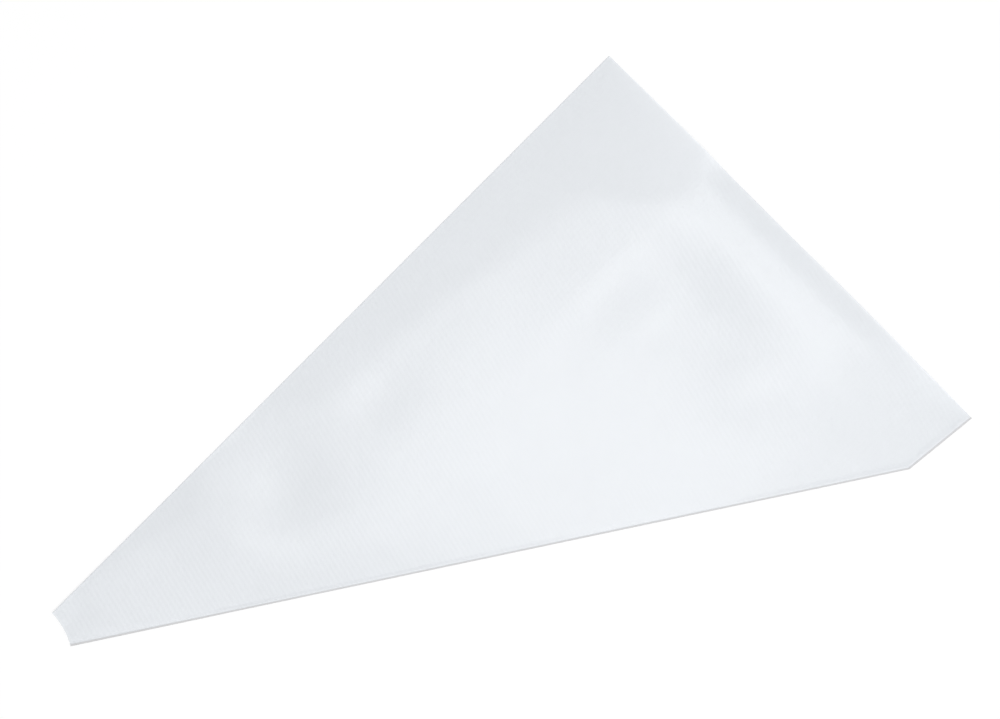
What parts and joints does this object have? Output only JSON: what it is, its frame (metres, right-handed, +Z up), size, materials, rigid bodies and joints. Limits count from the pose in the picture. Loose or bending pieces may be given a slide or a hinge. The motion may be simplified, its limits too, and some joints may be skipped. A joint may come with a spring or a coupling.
{
  "type": "piping bag",
  "caption": "Empty disposable piping bag of milky embossed film, lying flat: wide open mouth, long folded side, slanted welded side and a narrow closed tip.",
  "frame": {"origin": "centre of the bounding box, on the table that the bag lies on", "axes": "+Y from the open mouth towards the closed tip, +X towards the folded side, +Z up off the table"},
  "size_m": [0.2084, 0.324, 0.0086],
  "materials": {
    "film": "milky polyethylene film with a fine embossed grain"
  },
  "bodies": {
    "root": {"bag": "film"}
  },
  "joints": []
}
